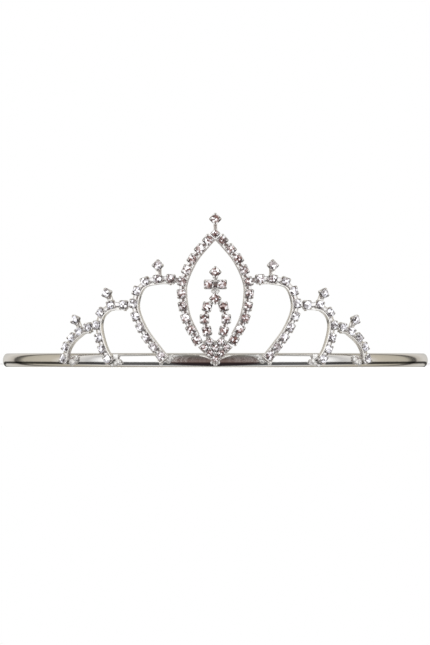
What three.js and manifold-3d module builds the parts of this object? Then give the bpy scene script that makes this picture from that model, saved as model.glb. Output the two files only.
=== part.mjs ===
// Bridal tiara: a half-round metal headband with a soldered crest of claw-set crystals.
// Millimetres, +Z up. The wearer's forehead is behind the front of the hoop, which faces -Y.
//
// The crest is laid out flat in (u, z, w): u runs along the headband from its middle, z is the height
// above the headband's lower edge and w is the depth outwards from the headband's face. Each piece is
// drawn there for the right-hand side, mirrored where it has a twin, and then rolled round the hoop.

import * as THREE from 'three';
import { mergeVertices } from 'three/addons/utils/BufferGeometryUtils.js';
import Module from 'manifold-3d';

const wasm = await Module();
wasm.setup();

// Headband
const hoopRadius = 70;          // outside of the half circle over the forehead
const legRadius = 120;          // outside of the flatter curve behind each ear
const legReach = 52;            // how far the legs run back behind the half circle's centre
const bandHeight = 4.5;
const bandDepth = 2.2;          // from the open side at the head to the crown of the half-round
const bandWall = 0.6;
const bandLip = 0.7;            // flat edge that the headband rests on
const noseLength = 3.4;         // rounded nose at each end of the headband
const noseTip = 0.22;           // share of the section that is left at the very end
const hoopSteps = 40;
const legSteps = 8;
const noseSteps = 5;

// Crystals and the claw cups that hold them
const stoneDiameter = 2.6;
const smallStoneDiameter = 2.0;
const cupMargin = 0.4;          // how much wider than its crystal a cup is
const cupHeight = 1.05;
const cupGap = 0.9;             // between neighbouring cups of a strand
const seatGap = 0.12;           // between a crystal's lower cone and its seat
const girdleRise = 0.1;         // crystal's widest line above the cup's rim
const pavilionRatio = 0.34;     // depth below the girdle for each millimetre of diameter
const crownRatio = 0.19;        // height above the girdle for each millimetre of diameter
const tableRatio = 0.58;        // flat top's share of the diameter
const girdleThickness = 0.1;
const clawRadius = 0.42;
const clawHeight = 0.6;
const clawInset = 0.32;         // from the cup's two sides to the middle of the claw's root
const clawLean = 0.2;           // sideways, towards the crystal, along each side of the cup
const clawRoot = 0.1;           // how deep the claw is sunk into the cup
const linkWidth = 0.9;
const linkDepth = 0.45;
const linkSink = 0.05;          // back of a link in front of the back of its cups
const linkInset = 0.75;         // from the middle of a cup to the end of a link, clear of the seat

// Wires
const ribbonThickness = 0.45;
const ribbonDepth = 1.6;
const ribbonStep = 1.7;         // length of one straight piece of a bent ribbon
const backingWidth = 0.9;
const backingDepth = 0.4;
const solderGap = 0.1;          // between soldered pieces
const ribbonGap = 0.15;         // between a ribbon and the cups beside it

// Crest outline
const crestHeight = 41.6;       // centre of the crystal at the top of the navette
const crestHalfWidth = 52.9;     // along the headband, to the outermost crystal
const navetteHalfWidth = 10.55;
const footTip = 0.2;            // lowest point of the crest above the headband's lower edge
const heartGap = 0.1;           // between the small cups of the heart
const heartClearance = 0.45;    // from the heart to the navette's last cup
const apexClearance = 0.2;      // between the two strands, and to the cup above them
const branchGap = 0.4;          // from a strand to the first cup of the arch that leaves it
const firstBranchGap = 0.5;     // the same where the first arch leaves the navette
const firstCrowding = 0.02;     // how far the cups are shifted down, as a share of the arch's length
const secondCrowding = 0.035;
const wireLead = 0.7;           // ribbon of an arch before the centre of its first cup
const finialStem = 0.7;
const shortStem = 0.3;          // stem of the finials on the second and third arches
const pendantApex = 21.4;
const pendantHalfWidth = 3.4;
const pendantFootHalfWidth = 2.6;
const pendantStem = 0.75;
const pendantTopGap = 0.2;
const pendantShoulder = 0.65;   // extra room from the pendant's apex cup to the next one
const crossbarGap = 1.2;
const foldHeight = 2.1;         // how far the first arch's foot runs back up beside its last cup
const tabWidth = 1.7;
const tabHeight = 1.8;
const tabDepth = 0.5;
const tabRise = 0.5;            // top of a tab above the end of its ribbon

// Worked out from the sizes above
const cupSide = stoneDiameter + cupMargin;
const smallCupSide = smallStoneDiameter + cupMargin;
const cupPitch = cupSide + cupGap;
const cupBack = backingDepth + solderGap;
const cupTop = cupBack + cupHeight;
const cupCorner = cupSide * Math.SQRT1_2;
const smallCupCorner = smallCupSide * Math.SQRT1_2;
const ribbonOffset = cupSide / 2 + ribbonGap + ribbonThickness / 2;
const faceRadius = hoopRadius + solderGap;
const layoutRadius = faceRadius + cupTop;   // radius at which u is a true length

const silver = new THREE.MeshStandardMaterial({ color: 0xc4c2bf, roughness: 0.16, metalness: 1 });
const castSilver = new THREE.MeshStandardMaterial({ color: 0xcfcccb, roughness: 0.24, metalness: 1 });
const crystal = new THREE.MeshStandardMaterial({ color: 0xe3dce0, roughness: 0.04, metalness: 0 });

const tiara = new THREE.Group();

function toSolid(geometry) {
  const bare = geometry.clone();
  bare.deleteAttribute('normal');
  bare.deleteAttribute('uv');
  const merged = mergeVertices(bare, 1e-4);
  return new wasm.Manifold(new wasm.Mesh({
    numProp: 3,
    vertProperties: new Float32Array(merged.attributes.position.array),
    triVerts: new Uint32Array(merged.index.array),
  }));
}

function toGeometry(solid) {
  const mesh = solid.getMesh();
  const geometry = new THREE.BufferGeometry();
  geometry.setAttribute('position', new THREE.BufferAttribute(new Float32Array(mesh.vertProperties), 3));
  geometry.setIndex(Array.from(mesh.triVerts));
  return geometry;
}

function joined(geometries) {
  const solids = geometries.map(toSolid);
  return toGeometry(solids.reduce((whole, piece) => whole.add(piece)));
}

// Bends a flat (u, z, w) piece round the hoop; the left-hand twin is mirrored in u first.
function rolled(flat, side) {
  const geometry = flat.index ? flat.clone() : mergeVertices(flat.clone());
  const position = geometry.attributes.position;
  for (let i = 0; i < position.count; i += 1) {
    const angle = side * position.getX(i) / layoutRadius;
    const radius = faceRadius + position.getZ(i);
    position.setXYZ(i, radius * Math.sin(angle), -radius * Math.cos(angle), position.getY(i));
  }
  if (side < 0) {
    geometry.setIndex(Array.from(geometry.index.array).reverse());
  }
  geometry.computeVertexNormals();
  return geometry;
}

function addPiece(name, flat, material, side = 1) {
  const mesh = new THREE.Mesh(rolled(flat, side), material);
  mesh.name = name;
  tiara.add(mesh);
}

// Clockwise normal: towards the inside of an arch that runs outwards and then down to the headband.
function inwards(along) {
  return new THREE.Vector2(along.y, -along.x);
}

// A line of points moved sideways by a distance, with mitred corners.
function offsetLine(points, distance) {
  return points.map((point, i) => {
    const before = point.clone().sub(points[Math.max(i - 1, 0)]).normalize();
    const after = points[Math.min(i + 1, points.length - 1)].clone().sub(point).normalize();
    const first = i === 0 ? after : before;
    const last = i === points.length - 1 ? before : after;
    const miter = inwards(first.clone().add(last).normalize());
    const stretch = distance / miter.dot(inwards(first));
    return point.clone().addScaledVector(miter, stretch);
  });
}

// A flat strip of wire that follows the points, standing between two depths.
function strip(points, width, back, depth) {
  const edge = offsetLine(points, width / 2);
  const farEdge = offsetLine(points, -width / 2).reverse();
  const shape = new THREE.Shape(edge.concat(farEdge));
  const geometry = new THREE.ExtrudeGeometry(shape, { depth, bevelEnabled: false, steps: 1 });
  return geometry.translate(0, 0, back);
}

function ribbon(points) {
  return strip(points, ribbonThickness, 0, ribbonDepth);
}

function backing(points) {
  return strip(points, backingWidth, 0, backingDepth);
}

// A crystal in its cup: a round stone with a flat table over a pointed cone.
function stoneShape(diameter) {
  const girdle = cupTop + girdleRise;
  const crown = girdle + girdleThickness;
  const radius = diameter / 2;
  const profile = [
    new THREE.Vector2(0, girdle - diameter * pavilionRatio),
    new THREE.Vector2(radius, girdle),
    new THREE.Vector2(radius, crown),
    new THREE.Vector2(radius * tableRatio, crown + diameter * crownRatio),
    new THREE.Vector2(0, crown + diameter * crownRatio),
  ];
  return new THREE.LatheGeometry(profile, 8).rotateX(Math.PI / 2);
}

function seatShape(diameter) {
  const culet = cupTop + girdleRise - diameter * pavilionRatio - seatGap;
  const slope = 0.5 / pavilionRatio;
  const overshoot = 0.5;
  const height = cupTop + overshoot - culet;
  return new THREE.CylinderGeometry(height * slope, 0, height, 8)
    .rotateX(Math.PI / 2)
    .translate(0, 0, culet + height / 2);
}

// A square cup with a conical seat and four claws that lean in over the crystal.
function makeCup(diameter) {
  const side = diameter + cupMargin;
  const block = new THREE.BoxGeometry(side, side, cupHeight).translate(0, 0, cupBack + cupHeight / 2);
  let cup = toSolid(block).subtract(toSolid(seatShape(diameter)));
  const reach = side / 2 - clawInset;
  for (let corner = 0; corner < 4; corner += 1) {
    const lean = -clawLean / clawHeight;
    const claw = new THREE.ConeGeometry(clawRadius, clawHeight, 3)
      .rotateX(Math.PI / 2)
      .rotateZ(0.75 * Math.PI)
      .translate(0, 0, clawHeight / 2)
      .applyMatrix4(new THREE.Matrix4().makeShear(0, 0, 0, 0, lean, lean))
      .translate(reach, reach, cupTop - clawRoot)
      .rotateZ(corner * Math.PI / 2);
    cup = cup.add(toSolid(claw));
  }
  return toGeometry(cup);
}

const cupShape = makeCup(stoneDiameter);
const smallCupShape = makeCup(smallStoneDiameter);
const stone = stoneShape(stoneDiameter);
const smallStone = stoneShape(smallStoneDiameter);

function placed(shape, place) {
  return shape.clone().rotateZ(place.turn).translate(place.centre.x, place.centre.y, 0);
}

function bar(from, to) {
  const run = to.clone().sub(from);
  const middle = from.clone().add(to).multiplyScalar(0.5);
  return new THREE.BoxGeometry(run.length(), linkWidth, linkDepth)
    .rotateZ(run.angle())
    .translate(middle.x, middle.y, cupBack + linkSink + linkDepth / 2);
}

function link(from, to) {
  const inset = to.clone().sub(from).setLength(linkInset);
  return bar(from.clone().add(inset), to.clone().sub(inset));
}

function smoothLine(points) {
  const stations = points.map((point) => new THREE.Vector3(point.x, point.y, 0));
  return new THREE.CatmullRomCurve3(stations, false, 'centripetal');
}

// Cup places from one end of a line to the other, a little closer together towards its foot.
function cupPlaces(line, crowding = 0) {
  const gaps = Math.round(line.getLength() / cupPitch);
  return Array.from({ length: gaps + 1 }, (_, i) => {
    const share = i / gaps + crowding * Math.sin(Math.PI * i / gaps);
    const point = line.getPointAt(share);
    const along = new THREE.Vector2().copy(line.getTangentAt(share));
    return { centre: new THREE.Vector2(point.x, point.y), along, turn: along.angle() };
  });
}

// The ribbon that lies along the inside of a strand's cups, up to a share of the strand's length.
function insideLine(line, share = 1) {
  const count = Math.ceil(line.getLength() / ribbonStep);
  return Array.from({ length: count + 1 }, (_, i) => {
    const point = line.getPointAt(share * i / count);
    const along = new THREE.Vector2().copy(line.getTangentAt(share * i / count));
    return new THREE.Vector2(point.x, point.y).addScaledVector(inwards(along), ribbonOffset);
  });
}

function strandSolid(places, stubs = []) {
  const cups = places.map((place) => placed(cupShape, place));
  const links = places.slice(1).map((place, i) => link(places[i].centre, place.centre));
  return joined([...cups, ...links, ...stubs]);
}

// A point of the crest's outline, as shares of its half width and its height.
function crestPoint(across, up) {
  return new THREE.Vector2(across * crestHalfWidth, up * crestHeight);
}

// Heart: small cups on a lattice turned by 45 degrees, whose lowest corner sits in the foot's vee.
const heartStep = (smallCupSide + heartGap) * Math.SQRT1_2;
const heartBase = footTip + Math.SQRT2 * (ribbonThickness + solderGap) + smallCupCorner;
const heartSpots = [[0, 0], [-1, 1], [1, 1], [0, 2], [-2, 2], [2, 2], [-1, 3], [1, 3]];

function heartPoint([across, up]) {
  return new THREE.Vector2(across * heartStep, heartBase + up * heartStep);
}

function heartCups() {
  const cups = heartSpots.map((spot) => placed(smallCupShape, { centre: heartPoint(spot), turn: Math.PI / 4 }));
  const links = [];
  heartSpots.forEach((spot, i) => {
    heartSpots.slice(i + 1).forEach((other) => {
      if (Math.abs(spot[0] - other[0]) === 1 && Math.abs(spot[1] - other[1]) === 1) {
        links.push(link(heartPoint(spot), heartPoint(other)));
      }
    });
  });
  return joined([...cups, ...links]);
}

function navetteFoot() {
  const tip = footTip + ribbonThickness * Math.SQRT1_2;
  const reach = 2 * heartStep + (smallCupSide + ribbonThickness) * Math.SQRT1_2;
  return ribbon([
    new THREE.Vector2(-reach, tip + reach),
    new THREE.Vector2(0, tip),
    new THREE.Vector2(reach, tip + reach),
  ]);
}

// Navette: two mirrored strands from a small cup at the top down to the heart.
const navetteTop = new THREE.Vector2(0, crestHeight);

function navetteLine() {
  const across = cupCorner + apexClearance / 2;
  const drop = cupCorner + smallCupCorner + apexClearance * 2 - across;
  const heartShoulder = heartPoint([2, 2]);
  const step = ((smallCupSide + cupSide) / 2 + heartClearance) * Math.SQRT1_2;
  const half = navetteHalfWidth;
  return smoothLine([
    new THREE.Vector2(across, crestHeight - drop),
    new THREE.Vector2(0.66 * half, 0.815 * crestHeight),
    new THREE.Vector2(0.98 * half, 0.637 * crestHeight),
    new THREE.Vector2(half, 0.543 * crestHeight),
    new THREE.Vector2(0.88 * half, 0.37 * crestHeight),
    heartShoulder.addScalar(step),
  ]);
}

function navetteWire(line) {
  const right = insideLine(line, 1 - cupSide / 2 / line.getLength());
  const slope = right[0].clone().sub(right[1]);
  const peak = right[0].clone().addScaledVector(slope, -right[0].x / slope.x);
  const left = right.map((point) => new THREE.Vector2(-point.x, point.y)).reverse();
  return ribbon([...left, peak, ...right]);
}

// Pendant inside the navette: two legs and an apex cup, a crossbar of two cups and a top cup.
const pendantTop = new THREE.Vector2(0, pendantApex);
const crossbarHeight = pendantApex + cupCorner + pendantStem + cupSide / 2;
const pendantCrown = new THREE.Vector2(0, crossbarHeight + cupSide / 2 + pendantTopGap + cupCorner);

function pendantLine() {
  const shoulder = (cupSide + pendantShoulder) * Math.SQRT1_2;
  const base = heartPoint([1, 3]);
  const foot = base.y + smallCupCorner + solderGap + cupSide / 2;
  return smoothLine([
    new THREE.Vector2(shoulder, pendantApex - shoulder),
    new THREE.Vector2(pendantHalfWidth, (pendantApex - shoulder + foot) / 2),
    new THREE.Vector2(pendantFootHalfWidth, foot),
  ]);
}

function pendantBacking(places) {
  const right = [pendantTop, ...places.map((place) => place.centre)];
  const last = right[right.length - 1];
  right.push(new THREE.Vector2(last.x, heartPoint([0, 2]).y));
  const left = right.slice(1).map((point) => new THREE.Vector2(-point.x, point.y)).reverse();
  const spine = backing([pendantTop, pendantCrown]);
  return joined([backing([...left, ...right]), spine]);
}

const crossbarPlaces = [-1, 1].map((end) => {
  const centre = new THREE.Vector2(end * (cupSide + crossbarGap) / 2, crossbarHeight);
  return { centre, turn: 0 };
});

// How far out the cups of a strand come, over the height of a cup at the given height.
function outerReach(places, height) {
  const samples = 12;
  let reach = 0;
  for (const { centre, turn } of places) {
    for (let i = 0; i < 4 * samples; i += 1) {
      const along = 2 * (i % samples) / samples - 1;
      const rim = new THREE.Vector2(1, along).multiplyScalar(cupSide / 2)
        .rotateAround(new THREE.Vector2(), turn + Math.floor(i / samples) * Math.PI / 2)
        .add(centre);
      if (Math.abs(rim.y - height) < cupSide / 2) {
        reach = Math.max(reach, rim.x);
      }
    }
  }
  return reach;
}

// Arches: each strand leaves a cup of the one before it and comes down to the headband. Its level is the
// height of its first cup as a share of the crest's, and dip is how far it falls in its first half pitch.
function archLine(parent, gap, level, dip, outline) {
  const height = level * crestHeight;
  const start = new THREE.Vector2(outerReach(parent, height) + gap + cupSide / 2, height);
  const next = start.clone().add(new THREE.Vector2(cupPitch / 2, -dip));
  return smoothLine([start, next, ...outline]);
}

function archWire(line, foot) {
  const points = insideLine(line);
  const start = points[0].clone().sub(points[1]).setLength(wireLead);
  points.unshift(points[0].clone().add(start));
  return foot(points, line);
}

// Foot that folds under the last cup and a little way up its far side.
function foldedFoot(points, line) {
  const last = cupPlaces(line).at(-1);
  const inner = inwards(last.along);
  const beyond = last.centre.clone().addScaledVector(last.along, ribbonOffset);
  const corner = beyond.clone().addScaledVector(inner, ribbonOffset);
  const tip = beyond.clone().addScaledVector(inner, -ribbonOffset);
  const end = tip.clone().addScaledVector(last.along, -foldHeight);
  return ribbon([...points, corner, tip, end]);
}

// Foot whose end carries a tab that lies on the headband's face.
function tabbedFoot(points) {
  const end = points.at(-1).clone();
  const tab = new THREE.BoxGeometry(tabWidth, tabHeight, tabDepth)
    .translate(end.x - tabWidth / 2, end.y + tabRise - tabHeight / 2, tabDepth / 2);
  return joined([ribbon(points), tab]);
}

// A finial stands corner upwards over a cup and leans outwards from the vertical.
function finialPlace(place, { base, stem, lean }) {
  const angle = Math.PI / 2 - THREE.MathUtils.degToRad(lean);
  const rise = new THREE.Vector2(Math.cos(angle), Math.sin(angle));
  return {
    centre: place.centre.clone().addScaledVector(rise, base + stem + cupCorner),
    turn: angle + Math.PI / 4,
  };
}

// Headband: a half-round channel, open towards the head, drawn down to a rounded nose at each end.
function bandSection() {
  const corner = bandLip - bandDepth;
  const bow = (height, width, count, start) => Array.from({ length: count + 1 }, (_, i) => {
    const angle = start * (0.5 - i / count) * Math.PI;
    return new THREE.Vector2(corner + width * Math.cos(angle), bandHeight / 2 + height * Math.sin(angle));
  });
  const dome = bandDepth - bandLip;
  return [
    new THREE.Vector2(-bandDepth, 0),
    ...bow(bandHeight / 2, dome, 6, -1),
    new THREE.Vector2(-bandDepth, bandHeight),
    new THREE.Vector2(-bandDepth, bandHeight - bandWall),
    ...bow(bandHeight / 2 - bandWall, dome - bandWall, 4, 1),
    new THREE.Vector2(-bandDepth, bandWall),
  ];
}

function legStation(turn, share, side) {
  return {
    x: side * (hoopRadius - legRadius + legRadius * Math.cos(turn)),
    y: legRadius * Math.sin(turn),
    outwards: new THREE.Vector2(side * Math.cos(turn), Math.sin(turn)),
    share,
  };
}

function legStations(side) {
  const sweep = Math.asin(legReach / legRadius);
  const nose = noseLength / legRadius;
  const stations = [];
  for (let i = 1; i <= legSteps; i += 1) {
    stations.push(legStation((sweep - nose) * i / legSteps, 1, side));
  }
  for (let i = 1; i <= noseSteps; i += 1) {
    const bend = Math.acos(noseTip) * i / noseSteps;
    const run = Math.sin(bend) / Math.sin(Math.acos(noseTip));
    stations.push(legStation(sweep - nose + nose * run, Math.cos(bend), side));
  }
  return stations;
}

function hoopStations() {
  const front = Array.from({ length: hoopSteps + 1 }, (_, i) => {
    const angle = (i / hoopSteps - 0.5) * Math.PI;
    const outwards = new THREE.Vector2(Math.sin(angle), -Math.cos(angle));
    return { x: hoopRadius * outwards.x, y: hoopRadius * outwards.y, outwards, share: 1 };
  });
  return [...legStations(-1).reverse(), ...front, ...legStations(1)];
}

function headband() {
  const section = bandSection();
  const stations = hoopStations();
  const corners = section.length;
  const positions = [];
  stations.forEach(({ x, y, outwards, share }) => {
    section.forEach((point) => {
      const out = -bandDepth + (point.x + bandDepth) * share;
      const up = bandHeight / 2 + (point.y - bandHeight / 2) * share;
      positions.push(x + outwards.x * out, y + outwards.y * out, up);
    });
  });
  const index = [];
  for (let i = 0; i + 1 < stations.length; i += 1) {
    for (let j = 0; j < corners; j += 1) {
      const near = i * corners + j;
      const next = i * corners + (j + 1) % corners;
      index.push(near, near + corners, next, next, near + corners, next + corners);
    }
  }
  const last = (stations.length - 1) * corners;
  THREE.ShapeUtils.triangulateShape(section, []).forEach(([a, b, c]) => {
    index.push(a, b, c, last + a, last + c, last + b);
  });
  const geometry = new THREE.BufferGeometry();
  geometry.setAttribute('position', new THREE.Float32BufferAttribute(positions, 3));
  geometry.setIndex(index);
  geometry.computeVertexNormals();
  const mesh = new THREE.Mesh(geometry, silver);
  mesh.name = 'headband';
  return mesh;
}

function addSetStone(name, place, side = 1) {
  addPiece(`${name}_cup`, placed(cupShape, place), castSilver, side);
  addPiece(`${name}_crystal`, placed(stone, place), crystal, side);
}

function addFinial(name, place, stand, side = 1) {
  const finial = finialPlace(place, stand);
  addPiece(`${name}_post`, backing([place.centre, finial.centre]), castSilver, side);
  addSetStone(name, finial, side);
}

// The pieces
tiara.add(headband());
addPiece('navette_foot', navetteFoot(), castSilver);
addPiece('heart_cups', heartCups(), castSilver);

const navette = navetteLine();
const navetteCups = cupPlaces(navette);
addPiece('navette_wire', navetteWire(navette), castSilver);
const topPlace = { centre: navetteTop, along: new THREE.Vector2(1, 0), turn: Math.PI / 4 };
addPiece('navette_top_cup', placed(smallCupShape, topPlace), castSilver);
addPiece('navette_top_crystal', placed(smallStone, topPlace), crystal);
addFinial('centre_finial', topPlace, { base: smallCupCorner, stem: finialStem, lean: 0 });

const pendant = pendantLine();
const pendantCups = cupPlaces(pendant);
addPiece('pendant_backing_wire', pendantBacking(pendantCups), castSilver);
addSetStone('pendant_apex', { centre: pendantTop, turn: Math.PI / 4 });
addSetStone('pendant_crown', { centre: pendantCrown, turn: Math.PI / 4 });
addPiece('crossbar_cups', strandSolid(crossbarPlaces), castSilver);
addPiece('crossbar_left_crystal', placed(stone, crossbarPlaces[0]), crystal);
addPiece('crossbar_right_crystal', placed(stone, crossbarPlaces[1]), crystal);

const firstArch = archLine(navetteCups, firstBranchGap, 0.6615, -0.1, [
  crestPoint(0.341, 0.66),
  crestPoint(0.445, 0.625),
  crestPoint(0.494, 0.466),
  crestPoint(0.447, 0.291),
  crestPoint(0.358, 0.138),
  crestPoint(0.323, 0.084),
]);
const firstCups = cupPlaces(firstArch, firstCrowding);

const secondArch = archLine(firstCups, branchGap, 0.4683, 0, [
  crestPoint(0.644, 0.469),
  crestPoint(0.715, 0.409),
  crestPoint(0.74, 0.317),
  crestPoint(0.7, 0.129),
  crestPoint(0.667, 0.064),
]);
const secondCups = cupPlaces(secondArch, secondCrowding);

const thirdArch = archLine(secondCups, branchGap, 0.3022, 0.3, [
  crestPoint(0.871, 0.272),
  crestPoint(0.933, 0.219),
  crestPoint(0.98, 0.147),
  crestPoint(0.999, 0.064),
]);
const thirdCups = cupPlaces(thirdArch);

const base = cupSide / 2;
const arches = [
  {
    name: 'first', line: firstArch, cups: firstCups, gap: firstBranchGap, foot: foldedFoot,
    stand: { base, stem: finialStem, lean: 0 },
  },
  {
    name: 'second', line: secondArch, cups: secondCups, gap: branchGap, foot: tabbedFoot,
    stand: { base, stem: shortStem, lean: 22 },
  },
  {
    name: 'third', line: thirdArch, cups: thirdCups, gap: branchGap, foot: tabbedFoot,
    stand: { base, stem: shortStem, lean: 25 },
  },
];

for (const [hand, side] of [['left', -1], ['right', 1]]) {
  addPiece(`${hand}_navette_cups`, strandSolid(navetteCups), castSilver, side);
  addPiece(`${hand}_pendant_cups`, strandSolid(pendantCups), castSilver, side);
  for (const { name, line, cups, gap, foot, stand } of arches) {
    const first = cups[0].centre;
    const stubStart = first.clone().sub(new THREE.Vector2(linkInset, 0));
    const stubEnd = first.clone().add(new THREE.Vector2(2 * solderGap - cupSide / 2 - gap, 0));
    addPiece(`${hand}_${name}_arch_wire`, archWire(line, foot), castSilver, side);
    addPiece(`${hand}_${name}_arch_cups`, strandSolid(cups, [bar(stubEnd, stubStart)]), castSilver, side);
    addFinial(`${hand}_${name}_finial`, cups[1], stand, side);
  }
}

// The origin is in the middle of the whole piece, on the surface it stands on.
const extent = new THREE.Box3().setFromObject(tiara);
tiara.position.y = -(extent.min.y + extent.max.y) / 2;

export default tiara;
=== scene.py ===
import math

import bmesh
import bpy
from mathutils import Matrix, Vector


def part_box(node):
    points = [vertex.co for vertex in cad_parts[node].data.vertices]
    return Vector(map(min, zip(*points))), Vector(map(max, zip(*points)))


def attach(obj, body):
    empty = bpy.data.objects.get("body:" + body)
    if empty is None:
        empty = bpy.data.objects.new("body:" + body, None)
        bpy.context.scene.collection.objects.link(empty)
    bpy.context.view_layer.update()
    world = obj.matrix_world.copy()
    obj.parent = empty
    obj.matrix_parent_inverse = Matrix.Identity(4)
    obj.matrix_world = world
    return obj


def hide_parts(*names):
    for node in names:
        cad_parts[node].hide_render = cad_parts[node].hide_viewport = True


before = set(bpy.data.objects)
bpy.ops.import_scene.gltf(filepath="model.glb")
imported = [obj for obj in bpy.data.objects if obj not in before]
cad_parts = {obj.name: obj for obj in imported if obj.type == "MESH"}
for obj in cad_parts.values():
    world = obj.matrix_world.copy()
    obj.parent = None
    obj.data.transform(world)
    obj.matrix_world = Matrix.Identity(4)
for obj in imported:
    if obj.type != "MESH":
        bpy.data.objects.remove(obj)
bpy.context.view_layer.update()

scene = bpy.context.scene
mm = 0.001

# The crest is laid out flat (x along the headband, -y outwards, z up) and then rolled round the hoop.
hoop = {
    "radius": 70.0 * mm,          # outside of the half circle over the forehead
    "legRadius": 120.0 * mm,      # outside of the flatter curve behind each ear
    "legReach": 52.0 * mm,        # how far the legs run back
    "faceGap": 0.1 * mm,          # solder between headband and crest
    "layoutDepth": 1.55 * mm,     # depth at which a flat length is a true one
}
hoop["centre"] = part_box("headband")[0][1] + hoop["radius"]
hoop["face"] = hoop["radius"] + hoop["faceGap"]
hoop["layout"] = hoop["face"] + hoop["layoutDepth"]

cup = {
    "side": 3.0 * mm,
    "stone": 2.6 * mm,
    "back": 0.5 * mm,             # depths, outwards from the headband's face
    "rim": 1.55 * mm,
    "seat": 0.646 * mm,           # tip of the seat's cone in a CAD cup
    "pitch": 3.9 * mm,
}
smallCup = dict(cup, side=2.4 * mm, stone=2.0 * mm, seat=0.85 * mm, pitch=2.5 * mm)


# Reading places off the frame

def flatPlace(point):
    angle = math.atan2(point[0], hoop["centre"] - point[1])
    radius = math.hypot(point[0], hoop["centre"] - point[1])
    return angle * hoop["layout"], radius - hoop["face"], point[2]


def flatPoints(node, depth):
    tolerance = 0.02 * mm
    found = {}
    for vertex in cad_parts[node].data.vertices:
        along, out, up = flatPlace(vertex.co)
        if abs(out - depth) < tolerance:
            found[round(along / mm, 1), round(up / mm, 1)] = Vector((along, up))
    return list(found.values())


# A cup's place is the tip of its seat, and its turn comes from the nearest corner of its back.
def cupPlaces(node, size):
    corners = flatPoints(node, size["back"])
    places = []
    for tip in flatPoints(node, size["seat"]):
        toCorner = min((corner - tip for corner in corners), key=lambda v: v.length)
        places.append((tip, math.atan2(toCorner.y, toCorner.x) - math.pi / 4))
    return places


strip = {
    "narrowest": 0.9, "widest": 1.65,    # in widths, from one edge of a strip's face to the other
    "step": 0.2 * mm,                    # a shorter step along it is left out
}


# The middle line of a bent strip, from the two edges of its face, starting at the given end.
def middleLine(node, depth, width, startKey):
    edges = flatPoints(node, depth)
    middles = []
    for i, point in enumerate(edges):
        for other in edges[i + 1:]:
            if strip["narrowest"] * width < (other - point).length < strip["widest"] * width:
                middles.append((point + other) / 2)
    line = [min(middles, key=startKey)]
    middles.remove(line[0])
    while middles:
        following = min(middles, key=lambda point: (point - line[-1]).length)
        middles.remove(following)
        if (following - line[-1]).length > strip["step"]:
            line.append(following)
    return line


# Node helpers

def newTree(name, inputs):
    tree = bpy.data.node_groups.new(name, "GeometryNodeTree")
    tree.interface.new_socket(name="Geometry", in_out="INPUT", socket_type="NodeSocketGeometry")
    for label, kind in inputs:
        tree.interface.new_socket(name=label, in_out="INPUT", socket_type="NodeSocket" + kind)
    tree.interface.new_socket(name="Geometry", in_out="OUTPUT", socket_type="NodeSocketGeometry")
    entry = tree.nodes.new("NodeGroupInput")
    leave = tree.nodes.new("NodeGroupOutput")
    return tree, entry, leave


def addNode(tree, kind, values=None, **settings):
    node = tree.nodes.new(kind)
    for key, value in settings.items():
        setattr(node, key, value)
    for socket, value in (values or {}).items():
        if hasattr(value, "is_output"):
            tree.links.new(value, node.inputs[socket])
        else:
            node.inputs[socket].default_value = value
    return node


def live(sockets, name=None):
    return next(socket for socket in sockets if socket.enabled and name in (None, socket.name))


def maths(tree, operation, first, second=0.0, third=None):
    values = {0: first, 1: second}
    if third is not None:
        values[2] = third
    return addNode(tree, "ShaderNodeMath", values, operation=operation).outputs[0]


def ranged(tree, value, start, end, low=0.0, high=1.0):
    return addNode(tree, "ShaderNodeMapRange", {"Value": value, "From Min": start, "From Max": end,
                                                "To Min": low, "To Max": high}).outputs[0]


def ramped(tree, factor, stops, interpolation="LINEAR"):
    node = addNode(tree, "ShaderNodeValToRGB", {"Fac": factor})
    ramp = node.color_ramp
    ramp.interpolation = interpolation
    while len(ramp.elements) < len(stops):
        ramp.elements.new(0.5)
    for element, (place, colour) in zip(ramp.elements, stops):
        element.position = place
        element.color = (*colour, 1)
    return node.outputs[0]


def mixColours(tree, factor, first, second, blend="MIX"):
    node = addNode(tree, "ShaderNodeMix", data_type="RGBA", blend_type=blend)
    sockets = [socket for socket in node.inputs if socket.enabled]
    for socket, value in zip(sockets, (factor, first, second)):
        if hasattr(value, "is_output"):
            tree.links.new(value, socket)
        else:
            socket.default_value = value
    return live(node.outputs)


def named(tree, name):
    return live(addNode(tree, "GeometryNodeInputNamedAttribute", {"Name": name}, data_type="FLOAT").outputs)


# Rolls flat geometry round the hoop, then realizes it and gives it its finish.
def rolledEnd(tree, entry, leave, geometry):
    place = addNode(tree, "GeometryNodeInputPosition").outputs[0]
    split = addNode(tree, "ShaderNodeSeparateXYZ", {0: place})
    angle = maths(tree, "DIVIDE", split.outputs["X"], entry.outputs["Layout Radius"])
    radius = maths(tree, "SUBTRACT", entry.outputs["Face Radius"], split.outputs["Y"])
    across = maths(tree, "MULTIPLY", radius, maths(tree, "SINE", angle))
    forward = maths(tree, "MULTIPLY", radius, maths(tree, "COSINE", angle))
    back = maths(tree, "SUBTRACT", entry.outputs["Hoop Centre"], forward)
    joinedPlace = addNode(tree, "ShaderNodeCombineXYZ", {"X": across, "Y": back, "Z": split.outputs["Z"]})
    real = addNode(tree, "GeometryNodeRealizeInstances", {0: geometry})
    rolled = addNode(tree, "GeometryNodeSetPosition",
                     {"Geometry": real.outputs[0], "Position": joinedPlace.outputs[0]})
    finished = addNode(tree, "GeometryNodeSetMaterial",
                       {"Geometry": rolled.outputs[0], "Material": entry.outputs["Finish"]})
    tree.links.new(finished.outputs[0], leave.inputs[0])


rollInputs = [("Layout Radius", "Float"), ("Face Radius", "Float"), ("Hoop Centre", "Float"),
              ("Finish", "Material")]
rollValues = {"Layout Radius": hoop["layout"], "Face Radius": hoop["face"], "Hoop Centre": hoop["centre"]}


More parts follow.
